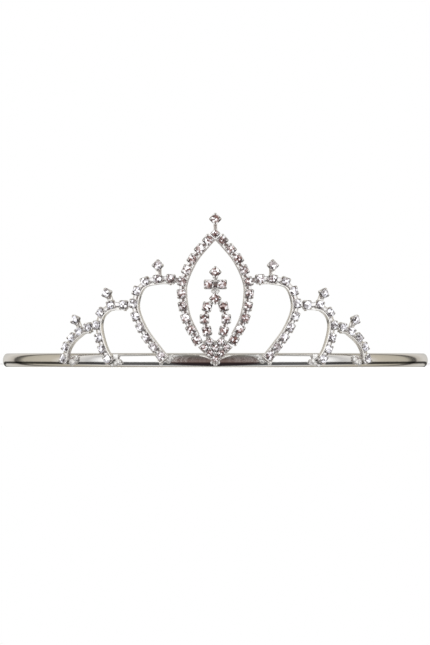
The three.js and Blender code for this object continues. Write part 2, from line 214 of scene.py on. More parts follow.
def growPiece(name, plan, tree, values):
    holder = bpy.data.objects.new(name + "Plan", plan)
    scene.collection.objects.link(holder)
    modifier = holder.modifiers.new("grow", "NODES")
    modifier.node_group = tree
    for item in tree.interface.items_tree:
        if item.item_type == "SOCKET" and item.in_out == "INPUT" and item.name in values:
            modifier[item.identifier] = values[item.name]
    bpy.context.view_layer.update()
    grown = bpy.data.meshes.new_from_object(holder.evaluated_get(bpy.context.evaluated_depsgraph_get()))
    grown.name = name
    bpy.data.objects.remove(holder)
    piece = bpy.data.objects.new(name, grown)
    scene.collection.objects.link(piece)
    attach(piece, "root")
    return piece


def planMesh(name, points, edges=()):
    mesh = bpy.data.meshes.new(name)
    mesh.from_pydata([tuple(point) for point in points], list(edges), [])
    return mesh


def attribute(mesh, name, domain, values):
    layer = mesh.attributes.new(name, "FLOAT", domain)
    layer.data.foreach_set("value", values)


def smooth(piece, degrees):
    piece.data.shade_smooth()
    piece.data.set_sharp_from_angle(angle=math.radians(degrees))


# Finishes

def newGroup(name, inputs, outputs):
    group = bpy.data.node_groups.new(name, "ShaderNodeTree")
    for label, kind, value in inputs:
        socket = group.interface.new_socket(name=label, in_out="INPUT", socket_type="NodeSocket" + kind)
        socket.default_value = value
    for label, kind in outputs:
        group.interface.new_socket(name=label, in_out="OUTPUT", socket_type="NodeSocket" + kind)
    return group, group.nodes.new("NodeGroupInput"), group.nodes.new("NodeGroupOutput")


handling = {
    "cloudDetail": 3.0, "cloudEdges": (0.3, 0.7), "stretch": (1.0, 1.0, 7.0), "scratchDetail": 2.0,
    "scratchEdges": (0.55, 0.75), "scratchDepth": -0.25,
}


# Handling marks: soft clouding and fine scratches, for every plated surface.
def makeHandlingMarks():
    group, entry, leave = newGroup(
        "handling marks",
        [("Place", "Vector", (0, 0, 0)), ("Cloud Scale", "Float", 90.0), ("Scratch Scale", "Float", 900.0)],
        [("Cloud", "Float"), ("Scratch", "Float"), ("Height", "Float")])
    place = entry.outputs["Place"]
    cloud = addNode(group, "ShaderNodeTexNoise", {
        "Vector": place, "Scale": entry.outputs["Cloud Scale"], "Detail": handling["cloudDetail"]}).outputs[0]
    stretch = addNode(group, "ShaderNodeMapping", {"Vector": place, "Scale": handling["stretch"]}).outputs[0]
    scratch = addNode(group, "ShaderNodeTexNoise", {
        "Vector": stretch, "Scale": entry.outputs["Scratch Scale"],
        "Detail": handling["scratchDetail"]}).outputs[0]
    fine = ranged(group, scratch, *handling["scratchEdges"])
    height = maths(group, "MULTIPLY_ADD", fine, handling["scratchDepth"], cloud)
    group.links.new(cloud, leave.inputs["Cloud"])
    group.links.new(fine, leave.inputs["Scratch"])
    group.links.new(height, leave.inputs["Height"])
    return group


handlingMarks = makeHandlingMarks()


def platedMetal(name, look):
    material = bpy.data.materials.new(name)
    material.use_nodes = True
    tree = material.node_tree
    shader = tree.nodes["Principled BSDF"]
    shader.inputs["Metallic"].default_value = look["metallic"]
    place = addNode(tree, "ShaderNodeTexCoord").outputs["Object"]
    marks = addNode(tree, "ShaderNodeGroup", node_tree=handlingMarks)
    tree.links.new(place, marks.inputs["Place"])
    marks.inputs["Cloud Scale"].default_value = look["cloudScale"]
    marks.inputs["Scratch Scale"].default_value = look["scratchScale"]
    colour = mixColours(tree, marks.outputs["Cloud"], look["dark"], look["light"])
    rough = ranged(tree, marks.outputs["Cloud"], *handling["cloudEdges"], *look["rough"])
    scratched = maths(tree, "MULTIPLY_ADD", marks.outputs["Scratch"], look["scratchRough"], rough)
    bump = addNode(tree, "ShaderNodeBump", {"Height": marks.outputs["Height"], "Strength": look["bump"],
                                            "Distance": look["bumpDepth"]})
    tree.links.new(colour, shader.inputs["Base Color"])
    tree.links.new(scratched, shader.inputs["Roughness"])
    tree.links.new(bump.outputs[0], shader.inputs["Normal"])
    return material


bandLook = {
    "metallic": 1.0, "dark": (0.80, 0.79, 0.78, 1), "light": (0.93, 0.925, 0.92, 1),
    "cloudScale": 70.0, "scratchScale": 1400.0, "rough": (0.035, 0.08), "scratchRough": 0.06,
    "bump": 0.25, "bumpDepth": 0.05 * mm,
}
castLook = {
    "metallic": 1.0, "dark": (0.76, 0.74, 0.73, 1), "light": (0.97, 0.96, 0.96, 1),
    "cloudScale": 420.0, "scratchScale": 2600.0, "rough": (0.10, 0.24), "scratchRough": 0.08,
    "bump": 0.5, "bumpDepth": 0.06 * mm,
}
ribbonLook = {
    "metallic": 0.85, "dark": (0.84, 0.82, 0.78, 1), "light": (0.97, 0.96, 0.94, 1),
    "cloudScale": 260.0, "scratchScale": 1900.0, "rough": (0.16, 0.32), "scratchRough": 0.1,
    "bump": 0.4, "bumpDepth": 0.05 * mm,
}
solderLook = {
    "metallic": 0.8, "dark": (0.74, 0.73, 0.71, 1), "light": (0.97, 0.97, 0.96, 1),
    "cloudScale": 520.0, "scratchScale": 2600.0, "rough": (0.18, 0.36), "scratchRough": 0.1,
    "bump": 0.8, "bumpDepth": 0.12 * mm,
}
bandFinish = platedMetal("headband plating", bandLook)
castFinish = platedMetal("cast cup plating", castLook)
ribbonFinish = platedMetal("ribbon wire plating", ribbonLook)
solderFinish = platedMetal("soft solder", solderLook)
print("plated finishes ready")


# Crystal: an opaque faceted stone. Its colour is a star of light and dark shards, drawn at random: painted
# reflections and highlights that stand for the mirrored back facets which would show through its crown.
# The painted reflections are warmer near the middle of the crest and cooler at its sides.
crystalLook = {
    "innerSectors": 6, "moreSectors": 4, "rings": 2.1,
    "warm": [(0.0, (0.045, 0.022, 0.020)), (0.26, (0.16, 0.09, 0.08)), (0.50, (0.37, 0.295, 0.285)),
             (0.64, (0.62, 0.59, 0.60)), (0.78, (0.88, 0.88, 0.90)), (0.89, (1.0, 1.0, 1.0))],
    "cool": [(0.0, (0.060, 0.052, 0.052)), (0.17, (0.19, 0.17, 0.175)), (0.38, (0.42, 0.41, 0.43)),
             (0.57, (0.64, 0.64, 0.69)), (0.73, (0.88, 0.88, 0.93)), (0.87, (1.0, 1.0, 1.0))],
    "warmEdge": 8.0 * mm, "coolEdge": 26.0 * mm, "seedSpread": 97.0,
    "rough": 0.04, "metallic": 0.15, "ior": 1.62, "coat": 0.35, "coatRough": 0.02,
}


def crystalFinish(look):
    material = bpy.data.materials.new("crystal with painted reflections")
    material.use_nodes = True
    tree = material.node_tree
    shader = tree.nodes["Principled BSDF"]
    gem = addNode(tree, "ShaderNodeAttribute", attribute_name="gem").outputs["Vector"]
    spark = addNode(tree, "ShaderNodeAttribute", attribute_name="spark").outputs["Fac"]
    split = addNode(tree, "ShaderNodeSeparateXYZ", {0: gem})
    turn = maths(tree, "ARCTAN2", split.outputs["X"], split.outputs["Z"])
    reach = addNode(tree, "ShaderNodeVectorMath", {0: gem}, operation="LENGTH").outputs["Value"]
    ring = maths(tree, "FLOOR", maths(tree, "MULTIPLY", reach, look["rings"]))
    sectors = maths(tree, "MULTIPLY_ADD", ring, look["moreSectors"], look["innerSectors"])
    around = maths(tree, "MULTIPLY", turn, 1 / (2 * math.pi))
    sector = maths(tree, "FLOOR", maths(tree, "MULTIPLY", around, sectors))
    seed = maths(tree, "MULTIPLY", spark, look["seedSpread"])
    shardId = addNode(tree, "ShaderNodeCombineXYZ", {"X": sector, "Y": ring, "Z": seed}).outputs[0]
    chance = addNode(tree, "ShaderNodeTexWhiteNoise", {"Vector": shardId}, noise_dimensions="3D")
    # Each shard takes one tone from a ramp: painted reflections and highlights, from dark facets to white
    # glints.
    paintedReflections = [ramped(tree, chance.outputs["Value"], look[side], "CONSTANT") for side in ("warm", "cool")]
    where = addNode(tree, "ShaderNodeTexCoord").outputs["Object"]
    across = maths(tree, "ABSOLUTE", addNode(tree, "ShaderNodeSeparateXYZ", {0: where}).outputs["X"])
    # The painted reflections turn from warm near the middle of the crest to cool at its sides.
    cool = ranged(tree, across, look["warmEdge"], look["coolEdge"])
    tree.links.new(mixColours(tree, cool, *paintedReflections), shader.inputs["Base Color"])
    shader.inputs["Metallic"].default_value = look["metallic"]
    shader.inputs["Roughness"].default_value = look["rough"]
    shader.inputs["IOR"].default_value = look["ior"]
    shader.inputs["Coat Weight"].default_value = look["coat"]
    shader.inputs["Coat Roughness"].default_value = look["coatRough"]
    return material


stoneFinish = crystalFinish(crystalLook)
print("crystal finish ready")


# Patterns: one cup, one crystal and one link, which the strands repeat

castCup = {
    "sides": 32, "sharp": 38,                                     # points round it, and degrees
    "corner": 0.5 * mm, "cornerEase": 0.4, "draft": 0.06 * mm,    # outside of the square
    "footEdge": 0.08 * mm, "footRise": 0.1 * mm,
    "dip": 0.42 * mm, "rimEdge": 0.07 * mm, "rimRise": 0.12 * mm,          # the rim sinks between two claws
    "bore": 0.94, "boreEdge": 0.03 * mm, "boreDip": 0.8,                   # in crystal widths and in dips
    "throat": 0.12 * mm, "throatDepth": 0.35 * mm, "throatDip": 0.2,
    "floor": 0.45 * mm, "floorWidth": 0.5,                                 # in bores
    "claws": 4, "clawSides": 6, "clawWidth": 0.66 * mm, "clawFlat": 0.75, "clawReach": 0.2 * mm,
    "clawBend": [(-0.55 * mm, 0.12 * mm, 1.0), (0.0, 0.08 * mm, 1.0), (0.26 * mm, 0.0, 0.92),
                 (0.46 * mm, -0.12 * mm, 0.78), (0.58 * mm, -0.30 * mm, 0.52)],    # rise, outwards, width
}


# Distance from the middle of a rounded square to its outline.
def squareReach(angle, half, corner):
    sharp = half / max(abs(math.cos(angle)), abs(math.sin(angle)))
    rounded = half * math.sqrt(2) - corner * (math.sqrt(2) - 1)
    if sharp <= rounded:
        return sharp
    offDiagonal = 1 - abs(math.sin(2 * angle))
    return min(sharp, rounded + (sharp - rounded) * offDiagonal * castCup["cornerEase"])


def bridgeRings(form, lower, upper):
    for i in range(len(lower)):
        j = (i + 1) % len(lower)
        form.faces.new((lower[i], lower[j], upper[j], upper[i]))


def sealTube(form, rings):
    for lower, upper in zip(rings, rings[1:]):
        bridgeRings(form, lower, upper)
    form.faces.new(list(reversed(rings[0])))
    form.faces.new(rings[-1])


def patternObject(name, mesh):
    pattern = bpy.data.objects.new(name, mesh)
    scene.collection.objects.link(pattern)
    return pattern


def patternFrom(name, form):
    bmesh.ops.recalc_face_normals(form, faces=form.faces)
    mesh = bpy.data.meshes.new(name)
    form.to_mesh(mesh)
    form.free()
    return patternObject(name, mesh)


def makeClaw(form, size, angle, reach):
    half = castCup["clawWidth"] / 2
    rings = []
    for rise, out, share in castCup["clawBend"]:
        ring = []
        for k in range(castCup["clawSides"]):
            turn = 2 * math.pi * k / castCup["clawSides"]
            along = reach + out + math.cos(turn) * half * share * castCup["clawFlat"]
            side = math.sin(turn) * half * share
            x = math.cos(angle) * along - math.sin(angle) * side
            z = math.sin(angle) * along + math.cos(angle) * side
            ring.append(form.verts.new((x, -(size["rim"] + rise), z)))
        rings.append(ring)
    sealTube(form, rings)


def makeCupPattern(name, size):
    form = bmesh.new()
    half = size["side"] / 2
    bore = size["stone"] / 2 * castCup["bore"]
    back = size["back"]
    rim = size["rim"]

    def ring(depth, dips, radius=None, shrink=0.0):
        points = []
        for i in range(castCup["sides"]):
            angle = 2 * math.pi * (i + 0.5) / castCup["sides"]
            reach = radius or squareReach(angle, half - shrink, castCup["corner"])
            valley = dips * castCup["dip"] * math.cos(2 * angle) ** 2
            points.append(form.verts.new((math.cos(angle) * reach, valley - depth, math.sin(angle) * reach)))
        return points

    sealTube(form, [
        ring(back, 0.0, shrink=castCup["draft"] + castCup["footEdge"]),
        ring(back + castCup["footRise"], 0.0, shrink=castCup["draft"]),
        ring(rim - castCup["rimRise"], 1.0),
        ring(rim, 1.0, shrink=castCup["rimEdge"]),
        ring(rim, castCup["boreDip"], bore + castCup["boreEdge"]),
        ring(rim - castCup["throatDepth"], castCup["throatDip"], bore - castCup["throat"]),
        ring(back + castCup["floor"], 0.0, bore * castCup["floorWidth"]),
    ])
    for k in range(castCup["claws"]):
        angle = math.pi / 4 + k * math.pi / 2
        makeClaw(form, size, angle, size["stone"] / 2 + castCup["clawReach"])
    return patternFrom(name, form)


cut = {
    "fit": 0.985, "girdleRise": 0.1 * mm, "girdle": 0.1 * mm, "crown": 0.19, "table": 0.56, "break": 0.80,
    "breakHeight": 0.48, "pavilion": 0.30, "mains": 8,
    "tip": math.radians(3.5),      # most that a crystal leans in its seat
}


# Round cut: table, stars, kites and two upper facets beside each kite, over eight lower facets.
def makeStonePattern(name, size):
    form = bmesh.new()
    radius = size["stone"] / 2 * cut["fit"]
    mains = cut["mains"]
    girdle = size["rim"] + cut["girdleRise"]
    crown = girdle + cut["girdle"]
    top = crown + size["stone"] * cut["crown"]
    middle = crown + size["stone"] * cut["crown"] * cut["breakHeight"]

    def ring(share, depth, count, offset):
        step = 2 * math.pi / count
        return [form.verts.new((math.cos(step * (k + offset)) * radius * share, -depth,
                                math.sin(step * (k + offset)) * radius * share)) for k in range(count)]

    table = ring(cut["table"], top, mains, 0.0)
    breaks = ring(cut["break"], middle, mains, 0.5)
    upper = ring(1.0, crown, 2 * mains, 0.0)
    lower = ring(1.0, girdle, 2 * mains, 0.0)
    culet = form.verts.new((0, -(girdle - size["stone"] * cut["pavilion"]), 0))
    form.faces.new(table)
    for k in range(mains):
        following = (k + 1) % mains
        form.faces.new((table[k], breaks[k], table[following]))
        form.faces.new((table[k], breaks[k - 1], upper[2 * k], breaks[k]))
        form.faces.new((breaks[k], upper[2 * k], upper[2 * k + 1]))
        form.faces.new((breaks[k], upper[2 * k + 1], upper[2 * following]))
        form.faces.new((lower[2 * k], lower[2 * k + 1], lower[2 * following], culet))
    bridgeRings(form, upper, lower)
    gem = form.verts.layers.float_vector.new("gem")
    for vertex in form.verts:
        vertex[gem] = Vector((vertex.co.x / radius, 0, vertex.co.z / radius))
    return patternFrom(name, form)


linkBar = {
    "width": 2.1 * mm, "depth": 0.62 * mm, "rise": 0.32 * mm, "waist": 0.85, "rings": 5, "around": 8,
    "overlap": 0.6 * mm,
    "farthest": 1.25,             # in pitches, between two cups that a link joins
}


# A short neck of metal between two cups, along x, narrower in its middle.
def makeLinkPattern(name, size):
    form = bmesh.new()
    length = size["pitch"] - size["side"] + linkBar["overlap"]
    rings = []
    for i in range(linkBar["rings"]):
        share = i / (linkBar["rings"] - 1)
        waist = 1 - (1 - linkBar["waist"]) * math.sin(math.pi * share)
        ring = []
        for k in range(linkBar["around"]):
            turn = 2 * math.pi * k / linkBar["around"]
            depth = cup["back"] + linkBar["rise"] + math.cos(turn) * linkBar["depth"] / 2 * waist
            ring.append(form.verts.new(((share - 0.5) * length, -depth,
                                        math.sin(turn) * linkBar["width"] / 2 * waist)))
        rings.append(ring)
    sealTube(form, rings)
    return patternFrom(name, form)


cupPattern = makeCupPattern("cupPattern", cup)
smallCupPattern = makeCupPattern("smallCupPattern", smallCup)
stonePattern = makeStonePattern("stonePattern", cup)
smallStonePattern = makeStonePattern("smallStonePattern", smallCup)
linkPattern = makeLinkPattern("linkPattern", cup)
smallLinkPattern = makeLinkPattern("smallLinkPattern", smallCup)


# Cups on the points of a plan and links on its edges.
def makeStrandTree():
    tree, entry, leave = newTree("strand of cups", [("Cup", "Object"), ("Link", "Object")] + rollInputs)
    source = entry.outputs["Geometry"]
    corners = addNode(tree, "GeometryNodeMeshToPoints", {"Mesh": source}, mode="VERTICES")
    middles = addNode(tree, "GeometryNodeMeshToPoints", {"Mesh": source}, mode="EDGES")
    whole = addNode(tree, "GeometryNodeJoinGeometry")
    for points, label, turnName in ((corners, "Cup", "turn"), (middles, "Link", "slope")):
        shape = addNode(tree, "GeometryNodeObjectInfo", {"Object": entry.outputs[label]})
        turn = maths(tree, "MULTIPLY", named(tree, turnName), -1.0)
        spin = addNode(tree, "ShaderNodeCombineXYZ", {"Y": turn}).outputs[0]
        copies = addNode(tree, "GeometryNodeInstanceOnPoints", {
            "Points": points.outputs[0], "Instance": shape.outputs["Geometry"], "Rotation": spin})
        if label == "Link":
            longer = addNode(tree, "ShaderNodeCombineXYZ", {"X": named(tree, "stretch"), "Y": 1.0, "Z": 1.0})
            tree.links.new(longer.outputs[0], copies.inputs["Scale"])
        tree.links.new(copies.outputs[0], whole.inputs[0])
    rolledEnd(tree, entry, leave, whole.outputs[0])
    return tree


# Crystals on the points of a plan, each turned and tipped a little in its seat.
def makeStoneTree():
    inputs = [("Stone", "Object"), ("Tip", "Float"), ("Seed", "Int")]
    tree, entry, leave = newTree("set crystals", inputs + rollInputs)
    points = addNode(tree, "GeometryNodeMeshToPoints", {"Mesh": entry.outputs["Geometry"]}, mode="VERTICES")
    shape = addNode(tree, "GeometryNodeObjectInfo", {"Object": entry.outputs["Stone"]})
    least = maths(tree, "MULTIPLY", entry.outputs["Tip"], -1.0)
    lowest = addNode(tree, "ShaderNodeCombineXYZ", {"X": least, "Y": -math.pi, "Z": least}).outputs[0]
    highest = addNode(tree, "ShaderNodeCombineXYZ",
                      {"X": entry.outputs["Tip"], "Y": math.pi, "Z": entry.outputs["Tip"]}).outputs[0]
    spin = addNode(tree, "FunctionNodeRandomValue", {"Seed": entry.outputs["Seed"]}, data_type="FLOAT_VECTOR")
    tree.links.new(lowest, spin.inputs["Min"])
    tree.links.new(highest, spin.inputs["Max"])
    copies = addNode(tree, "GeometryNodeInstanceOnPoints", {
        "Points": points.outputs[0], "Instance": shape.outputs["Geometry"], "Rotation": spin.outputs[0]})
    # A random value for each crystal, which seeds the pattern of its painted reflections.
    chance = addNode(tree, "FunctionNodeRandomValue", {"Seed": entry.outputs["Seed"]}, data_type="FLOAT")
    kept = addNode(tree, "GeometryNodeStoreNamedAttribute",
                   {"Geometry": copies.outputs[0], "Name": "spark"}, data_type="FLOAT", domain="INSTANCE")
    tree.links.new(live(chance.outputs), live(kept.inputs, "Value"))
    rolledEnd(tree, entry, leave, kept.outputs[0])
    return tree


wireSteps = {"bend": 6, "edge": 2}       # points in a round bend of the line and of the section


# A strip of wire swept along the plan's line, with round corners.
def makeWireTree():
    inputs = [("Width", "Float"), ("Depth", "Float"), ("Edge", "Float")]
    tree, entry, leave = newTree("bent wire", inputs + rollInputs)
    line = addNode(tree, "GeometryNodeMeshToCurve", {"Mesh": entry.outputs["Geometry"]})
    bent = addNode(tree, "GeometryNodeFilletCurve", {
        "Curve": line.outputs[0], "Count": wireSteps["bend"], "Radius": named(tree, "bend"),
        "Limit Radius": True}, mode="POLY")
    level = addNode(tree, "GeometryNodeSetCurveNormal", {"Curve": bent.outputs[0]}, mode="Z_UP")
    section = addNode(tree, "GeometryNodeCurvePrimitiveQuadrilateral",
                      {"Width": entry.outputs["Width"], "Height": entry.outputs["Depth"]})
    eased = addNode(tree, "GeometryNodeFilletCurve", {
        "Curve": section.outputs[0], "Count": wireSteps["edge"], "Radius": entry.outputs["Edge"],
        "Limit Radius": True}, mode="POLY")
    swept = addNode(tree, "GeometryNodeCurveToMesh",
                    {"Curve": level.outputs[0], "Profile Curve": eased.outputs[0], "Fill Caps": True})
    stood = addNode(tree, "GeometryNodeTransform",
                    {"Geometry": swept.outputs[0], "Rotation": (math.pi / 2, 0, 0)})
    half = maths(tree, "MULTIPLY", entry.outputs["Depth"], -0.5)
    offset = addNode(tree, "ShaderNodeCombineXYZ", {"Y": half}).outputs[0]
    tree.links.new(offset, stood.inputs["Translation"])
    rolledEnd(tree, entry, leave, stood.outputs[0])
    return tree


strandTree = makeStrandTree()
stoneTree = makeStoneTree()
wireTree = makeWireTree()
print("trees ready")


# Strands of cups and crystals

def setStrand(node, size, stonesFor, seed):
    places = cupPlaces(node, size)
    small = size is smallCup
    points = [(place.x, 0, place.y) for place, _ in places]
    edges = [(i, j) for i in range(len(places)) for j in range(i + 1, len(places))
             if (places[i][0] - places[j][0]).length < size["pitch"] * linkBar["farthest"]]
    runs = [places[j][0] - places[i][0] for i, j in edges]
    plan = planMesh(node + "Plan", points, edges)
    attribute(plan, "turn", "POINT", [turn for _, turn in places])
    if edges:
        attribute(plan, "slope", "EDGE", [math.atan2(run.y, run.x) for run in runs])
        attribute(plan, "stretch", "EDGE", [run.length / size["pitch"] for run in runs])
    metal = growPiece(node + "_cast", plan, strandTree, dict(
        rollValues, Cup=smallCupPattern if small else cupPattern,
        Link=smallLinkPattern if small else linkPattern, Finish=castFinish))
    smooth(metal, castCup["sharp"])
    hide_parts(node)
    stones = growPiece(node.replace("_cups", "").replace("_cup", "") + "_stones", plan, stoneTree, dict(
        rollValues, Stone=smallStonePattern if small else stonePattern, Tip=cut["tip"], Seed=seed,
        Finish=stoneFinish))
    if stonesFor:
        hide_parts(*stonesFor)
    return places


arches = ("first", "second", "third")
strandPlaces = {}
for label, size, node, crystals, seed in (
        ("heart", smallCup, "heart_cups", [], 3),
        ("top", smallCup, "navette_top_cup", ["navette_top_crystal"], 5),
        ("centre_finial", cup, "centre_finial_cup", ["centre_finial_crystal"], 7),
        ("pendant_apex", cup, "pendant_apex_cup", ["pendant_apex_crystal"], 11),
        ("pendant_crown", cup, "pendant_crown_cup", ["pendant_crown_crystal"], 13),
        ("crossbar", cup, "crossbar_cups", ["crossbar_left_crystal", "crossbar_right_crystal"], 17)):
    strandPlaces[label] = setStrand(node, size, crystals, seed)
for number, hand in enumerate(("left", "right")):
    for order, part in enumerate(("navette", "pendant", "first_arch", "second_arch", "third_arch")):
        strandPlaces[f"{hand}_{part}"] = setStrand(f"{hand}_{part}_cups", cup, [], 20 + number * 10 + order)
    for order, arch in enumerate(arches):
        label = f"{hand}_{arch}_finial"
        strandPlaces[label] = setStrand(label + "_cup", cup, [label + "_crystal"], 50 + number * 10 + order)
print("strands set")


# Ribbons and backing wires

ribbon = {"width": 0.45 * mm, "depth": 1.6 * mm, "edge": 0.1 * mm, "corner": 0.35 * mm, "sweep": 30.0 * mm,
          "solder": 0.45 * mm}      # how much nearer to its cups it lies than the CAD wire, which clears them
backing = {"width": 0.9 * mm, "depth": 0.4 * mm, "edge": 0.14 * mm, "corner": 0.5 * mm, "sweep": 30.0 * mm}
stem = dict(backing, width=1.25 * mm, depth=0.7 * mm)
neck = dict(stem, width=1.9 * mm)
joinBar = dict(backing, width=1.6 * mm, depth=1.1 * mm)
tab = dict(backing, depth=0.5 * mm, edge=0.2 * mm)
wireSharp = 40                   # degrees, at a corner of the line and between two faces


def bentWire(name, lines, size, finish, *nodes):
    points, edges, bends = [], [], []
    for line in lines:
        start = len(points)
        for i, point in enumerate(line):
            points.append((point.x, point.y, 0))
            sharp = 0.0
            if 0 < i < len(line) - 1:
                sharp = (point - line[i - 1]).angle(line[i + 1] - point)
            bends.append(size["corner"] if sharp > math.radians(wireSharp) else size["sweep"])
        edges += [(start + i, start + i + 1) for i in range(len(line) - 1)]
    plan = planMesh(name + "Plan", points, edges)
    attribute(plan, "bend", "POINT", bends)
    piece = growPiece(name, plan, wireTree, dict(
        rollValues, Width=size["width"], Depth=size["depth"], Edge=size["edge"], Finish=finish))
    smooth(piece, wireSharp)
    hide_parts(*nodes)


def places(label):
    return [place for place, _ in strandPlaces[label]]


def ribbonFrom(node, startKey, *strands):
    line = middleLine(node, ribbon["depth"], ribbon["width"], startKey)
    cups = [place for strand in strands for place in places(strand)]
    snug = []
    for i, point in enumerate(line):
        along = line[min(i + 1, len(line) - 1)] - line[max(i - 1, 0)]
        across = Vector((-along.y, along.x)).normalized()
        towards = min((place - point for place in cups), key=lambda v: v.length).dot(across)
        snug.append(point + across * math.copysign(ribbon["solder"], towards))
    bentWire(node + "_ribbon", [snug], ribbon, ribbonFinish, node)


def postFrom(label, parent, size):
    finial = places(label)[0]
    root = min(places(parent), key=lambda place: (place - finial).length)
    bentWire(label + "_stem", [[root, finial]], size, ribbonFinish, label + "_post")


# The bar from a strand's first cup to the nearest cup of the strand it leaves.
def joinFrom(label, parent):
    first = min(places(label), key=lambda place: min((place - other).length for other in places(parent)))
    root = min(places(parent), key=lambda place: (place - first).length)
    bentWire(label + "_join", [[root, first]], joinBar, castFinish, label + "_cups")


def tabFrom(node):
    corners = flatPoints(node, tab["depth"])
    across = [corner.x for corner in corners]
    up = [corner.y for corner in corners]
    middle = (min(up) + max(up)) / 2
    line = [Vector((min(across), middle)), Vector((max(across), middle))]
    bentWire(node.replace("_wire", "_tab"), [line], dict(tab, width=max(up) - min(up)), solderFinish, node)


ribbonFrom("navette_foot", lambda point: point.x, "heart")
ribbonFrom("navette_wire", lambda point: point.y, "left_navette", "right_navette", "top")
postFrom("centre_finial", "top", stem)
for hand in ("left", "right"):
    for arch, parent in zip(arches, ("navette", "first_arch", "second_arch")):
        ribbonFrom(f"{hand}_{arch}_arch_wire", lambda point: abs(point.x), f"{hand}_{arch}_arch")
        postFrom(f"{hand}_{arch}_finial", f"{hand}_{arch}_arch", neck)
        joinFrom(f"{hand}_{arch}_arch", f"{hand}_{parent}")
    tabFrom(f"{hand}_second_arch_wire")
    tabFrom(f"{hand}_third_arch_wire")

apex = places("pendant_apex")[0]
legs = [sorted(places(f"{hand}_pendant"), key=lambda place: -place.y) for hand in ("left", "right")]
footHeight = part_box("pendant_backing_wire")[0][2]
for leg in legs:
    leg.append(Vector((leg[-1].x, footHeight)))
bentWire("pendant_backing", [legs[0][::-1] + [apex] + legs[1], [apex, places("pendant_crown")[0]]],
         backing, ribbonFinish, "pendant_backing_wire")
print("wires bent")


# Solder: lumps at the feet, between the heart's cups and at the joints of the pendant, each with its place
# across and up and its size, in millimetres from the cup or the crossbar that it lies beside
solder = {
    "first": [(-2.7, -0.7, 0.75), (-2.1, -1.5, 0.8), (-3.5, 0.0, 0.5), (0.3, -2.3, 0.6)],
    "second": [(-3.4, -0.9, 0.95), (-2.6, -1.6, 0.8), (-4.0, -1.5, 0.6), (-1.2, -2.0, 0.6)],
    "third": [(-4.6, -0.2, 0.8), (-3.8, -1.1, 0.85), (-2.8, -1.5, 0.7), (-4.9, 0.7, 0.45)],
    "crossbar": [(0.0, -2.2, 0.95), (-0.8, -2.0, 0.5), (0.8, -2.0, 0.5), (0.0, 0.7, 0.9), (0.0, -0.6, 0.9),
                 (0.0, 2.2, 0.7), (-1.5, -5.8, 0.7), (1.5, -5.8, 0.7)],
    "heart": [(0.0, -1.75, 0.6), (-1.0, -1.2, 0.5), (1.0, -1.2, 0.5), (0.0, 4.9, 0.85), (-3.2, 5.2, 0.6),
              (3.2, 5.2, 0.6), (-2.3, 7.0, 0.6), (2.3, 7.0, 0.6)],
    "depth": 0.35 * mm, "flat": 0.6, "wide": 1.15, "fineness": 4, "grain": 900.0, "roughness": 0.5 * mm,
    "sharp": 60,
}


# A lump on each point of a plan, of the size that the point gives, with a hammered surface.
def makeSolderTree():
    inputs = [("Flat", "Float"), ("Wide", "Float"), ("Grain", "Float"), ("Lumps", "Float")]
    tree, entry, leave = newTree("solder lumps", inputs + rollInputs)
    points = addNode(tree, "GeometryNodeMeshToPoints", {"Mesh": entry.outputs["Geometry"]}, mode="VERTICES")
    ball = addNode(tree, "GeometryNodeMeshIcoSphere", {"Radius": 1.0, "Subdivisions": solder["fineness"]})
    size = named(tree, "size")
    scale = addNode(tree, "ShaderNodeCombineXYZ",
                    {"X": maths(tree, "MULTIPLY", size, entry.outputs["Wide"]),
                     "Y": maths(tree, "MULTIPLY", size, entry.outputs["Flat"]), "Z": size})
    balls = addNode(tree, "GeometryNodeInstanceOnPoints",
                    {"Points": points.outputs[0], "Instance": ball.outputs[0], "Scale": scale.outputs[0]})
    real = addNode(tree, "GeometryNodeRealizeInstances", {0: balls.outputs[0]})
    place = addNode(tree, "GeometryNodeInputPosition").outputs[0]
    noise = addNode(tree, "ShaderNodeTexNoise",
                    {"Vector": place, "Scale": entry.outputs["Grain"], "Detail": 1.0})
    rise = maths(tree, "MULTIPLY", maths(tree, "SUBTRACT", noise.outputs[0], 0.5), entry.outputs["Lumps"])
    outward = addNode(tree, "GeometryNodeInputNormal").outputs[0]
    push = addNode(tree, "ShaderNodeVectorMath", {0: outward}, operation="SCALE")
    tree.links.new(rise, push.inputs["Scale"])
    lumpy = addNode(tree, "GeometryNodeSetPosition", {"Geometry": real.outputs[0], "Offset": push.outputs[0]})
    rolledEnd(tree, entry, leave, lumpy.outputs[0])
    return tree


solderTree = makeSolderTree()


def solderAt(name, spot, lumps, side=1):
    points = [(spot.x + side * across * mm, -solder["depth"], spot.y + up * mm) for across, up, _ in lumps]
    plan = planMesh(name + "Plan", points)
    attribute(plan, "size", "POINT", [size * mm for _, _, size in lumps])
    piece = growPiece(name, plan, solderTree, dict(
        rollValues, Flat=solder["flat"], Wide=solder["wide"], Grain=solder["grain"],
        Lumps=solder["roughness"], Finish=solderFinish))
    smooth(piece, solder["sharp"])


for hand, side in (("left", -1), ("right", 1)):
    for arch in arches:
        lowest = min(places(f"{hand}_{arch}_arch"), key=lambda place: place.y)
        solderAt(f"{hand}_{arch}_arch_solder", lowest, solder[arch], side)
crossbarMiddle = sum(places("crossbar"), Vector((0, 0))) / 2
solderAt("crossbar_solder", crossbarMiddle, solder["crossbar"])
solderAt("heart_solder", min(places("heart"), key=lambda place: place.y), solder["heart"])
print("solder run")


# Headband: a half-round channel swept along the hoop and drawn down to a rounded nose at each end

band = {
    "height": 4.5 * mm, "depth": 2.2 * mm, "lip": 0.7 * mm, "wall": 0.6 * mm,
    "nose": 3.4 * mm, "noseTip": 0.22, "hoopSteps": 220, "legSteps": 60, "noseSteps": 14,
    "outerSteps": 28, "innerSteps": 20, "sharp": 35,
}


